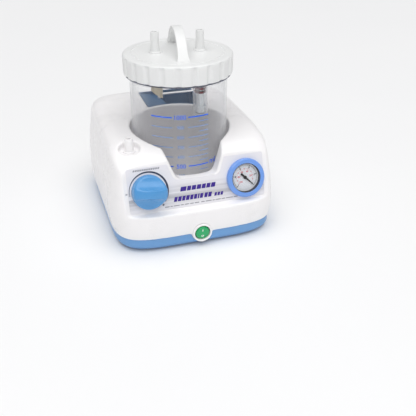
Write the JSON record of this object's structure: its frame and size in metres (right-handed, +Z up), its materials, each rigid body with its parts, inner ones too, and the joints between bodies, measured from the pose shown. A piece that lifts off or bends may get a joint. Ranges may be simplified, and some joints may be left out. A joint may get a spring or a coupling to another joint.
{
  "type": "suction pump",
  "caption": "Table-top suction pump: moulded housing with tilted control panel, clear graduated collection jar in a well, screw lid with hose nozzles and float valve, piston pump inside.",
  "frame": {"origin": "on the ground, under the centre of the whole object's outline", "axes": "+Z up, +X to the right of a person facing the panel, the panel faces -Y"},
  "size_m": [0.1898, 0.2288, 0.2238],
  "materials": {
    "cover_plastic": "moulded white ABS, fine satin gloss",
    "blue_plastic": "moulded sky-blue ABS, satin",
    "knob_plastic": "moulded blue plastic, satin gloss",
    "bezel_plastic": "moulded light-blue plastic",
    "foot_rubber": "matt moulded rubber",
    "screw_steel": "zinc-plated steel",
    "label_film": "printed polyester film",
    "nozzle_plastic": "natural polypropylene",
    "fitting_brass": "turned brass",
    "dark_plastic": "black glass-filled nylon",
    "dial_face": "printed aluminium dial",
    "clear_lens": "clear polished window",
    "needle_black": "black painted",
    "grip_plastic": "darker blue grip tub",
    "switch_green": "green translucent rocker",
    "pin_metal": "tin-plated brass",
    "cast_alloy": "die-cast alloy",
    "motor_steel": "zinc-plated steel",
    "lamination": "stacked steel laminations",
    "copper_wire": "enamelled copper",
    "bearing_steel": "ground steel",
    "hose_silicone": "translucent silicone",
    "wire_insulation": "PVC insulation",
    "fan_plastic": "moulded nylon",
    "seal_ptfe": "filled PTFE",
    "jar_clear": "clear polycarbonate with printed graduations",
    "gasket_silicone": "soft silicone",
    "lid_plastic": "natural white polypropylene",
    "spout_plastic": "cream silicone spout",
    "cage_clear": "clear moulded cage",
    "float_plastic": "hollow float",
    "ring_red": "dark red rubber"
  },
  "bodies": {
    "housing": {"housing_cover": "cover_plastic", "jar_well": "cover_plastic", "base_tray": "blue_plastic", "rubber_feet": "foot_rubber", "case_screws": "screw_steel", "front_label": "label_film", "grip_insert": "grip_plastic", "body_nozzle": "nozzle_plastic", "nozzle_manifold": "cast_alloy", "regulator_valve": "fitting_brass", "gauge_case": "dark_plastic", "gauge_bezel": "bezel_plastic", "gauge_dial": "dial_face", "gauge_lens": "clear_lens", "gauge_movement": "fitting_brass", "bourdon_tube": "fitting_brass", "gauge_port": "fitting_brass", "switch_surround": "cover_plastic", "switch_body": "dark_plastic", "inlet_body": "dark_plastic", "inlet_pins": "pin_metal", "inlet_screws": "screw_steel", "pump_frame": "cast_alloy", "pump_grommets": "foot_rubber", "pump_screws": "screw_steel", "motor_can": "motor_steel", "motor_stator": "lamination", "motor_windings": "copper_wire", "front_bearing": "bearing_steel", "rear_bearing": "bearing_steel", "pump_cylinder": "cast_alloy", "cylinder_head": "cast_alloy", "head_screws": "screw_steel", "exhaust_silencer": "fan_plastic", "pump_hose": "hose_silicone", "regulator_hose": "hose_silicone", "gauge_hose": "hose_silicone", "mains_wiring": "wire_insulation"},
    "regulator": {"regulator_knob": "knob_plastic", "regulator_spindle": "screw_steel"},
    "pointer": {"gauge_needle": "needle_black"},
    "rocker": {"switch_rocker": "switch_green"},
    "motor": {"motor_shaft": "bearing_steel", "motor_rotor": "lamination", "cooling_fan": "fan_plastic", "crank_disc": "cast_alloy", "crank_pin": "bearing_steel"},
    "piston": {"piston_rod": "cast_alloy", "piston_seal": "seal_ptfe"},
    "jar": {"jar": "jar_clear"},
    "seal": {"lid_gasket": "gasket_silicone"},
    "lid": {"lid_cap": "lid_plastic", "lid_handle": "lid_plastic", "patient_spout": "spout_plastic", "float_cage": "cage_clear"},
    "float": {"valve_float": "float_plastic", "float_rings": "ring_red"}
  },
  "joints": [
    {"name": "regulator_turn", "type": "hinge", "parent": "housing", "child": "regulator", "pos_m": [-0.055, -0.0941, 0.07], "axis": [0, 0.965, -0.2622], "range_deg": [0, 225]},
    {"name": "pointer_swing", "type": "hinge", "parent": "housing", "child": "pointer", "pos_m": [0.055, -0.0941, 0.07], "axis": [0, -0.965, 0.2622], "range_deg": [0, 270], "stiffness_Nm_per_rad": 0.0005},
    {"name": "switch_rock", "type": "hinge", "parent": "housing", "child": "rocker", "pos_m": [0, -0.1081, 0.018], "axis": [-1, 0, 0], "range_deg": [0, 20]},
    {"name": "motor_spin", "type": "hinge", "parent": "housing", "child": "motor", "pos_m": [0, 0.0714, 0.042], "axis": [1, 0, 0], "continuous": true},
    {"name": "piston_stroke", "type": "slide", "parent": "housing", "child": "piston", "axis": [0, 0, 1], "range_m": [-0.012, 0]},
    {"name": "jar_lift", "type": "slide", "parent": "housing", "child": "jar", "axis": [0, 0, 1], "range_m": [0, 0.12]},
    {"name": "lid_lift", "type": "slide", "parent": "jar", "child": "seal", "axis": [0, 0, 1], "range_m": [0, 0.075]},
    {"name": "lid_turn", "type": "hinge", "parent": "seal", "child": "lid", "pos_m": [0, -0.0246, 0.19], "axis": [0, 0, 1], "range_deg": [0, 360]},
    {"name": "float_rise", "type": "slide", "parent": "lid", "child": "float", "axis": [0, 0, 1], "range_m": [0, 0.01]}
  ]
}
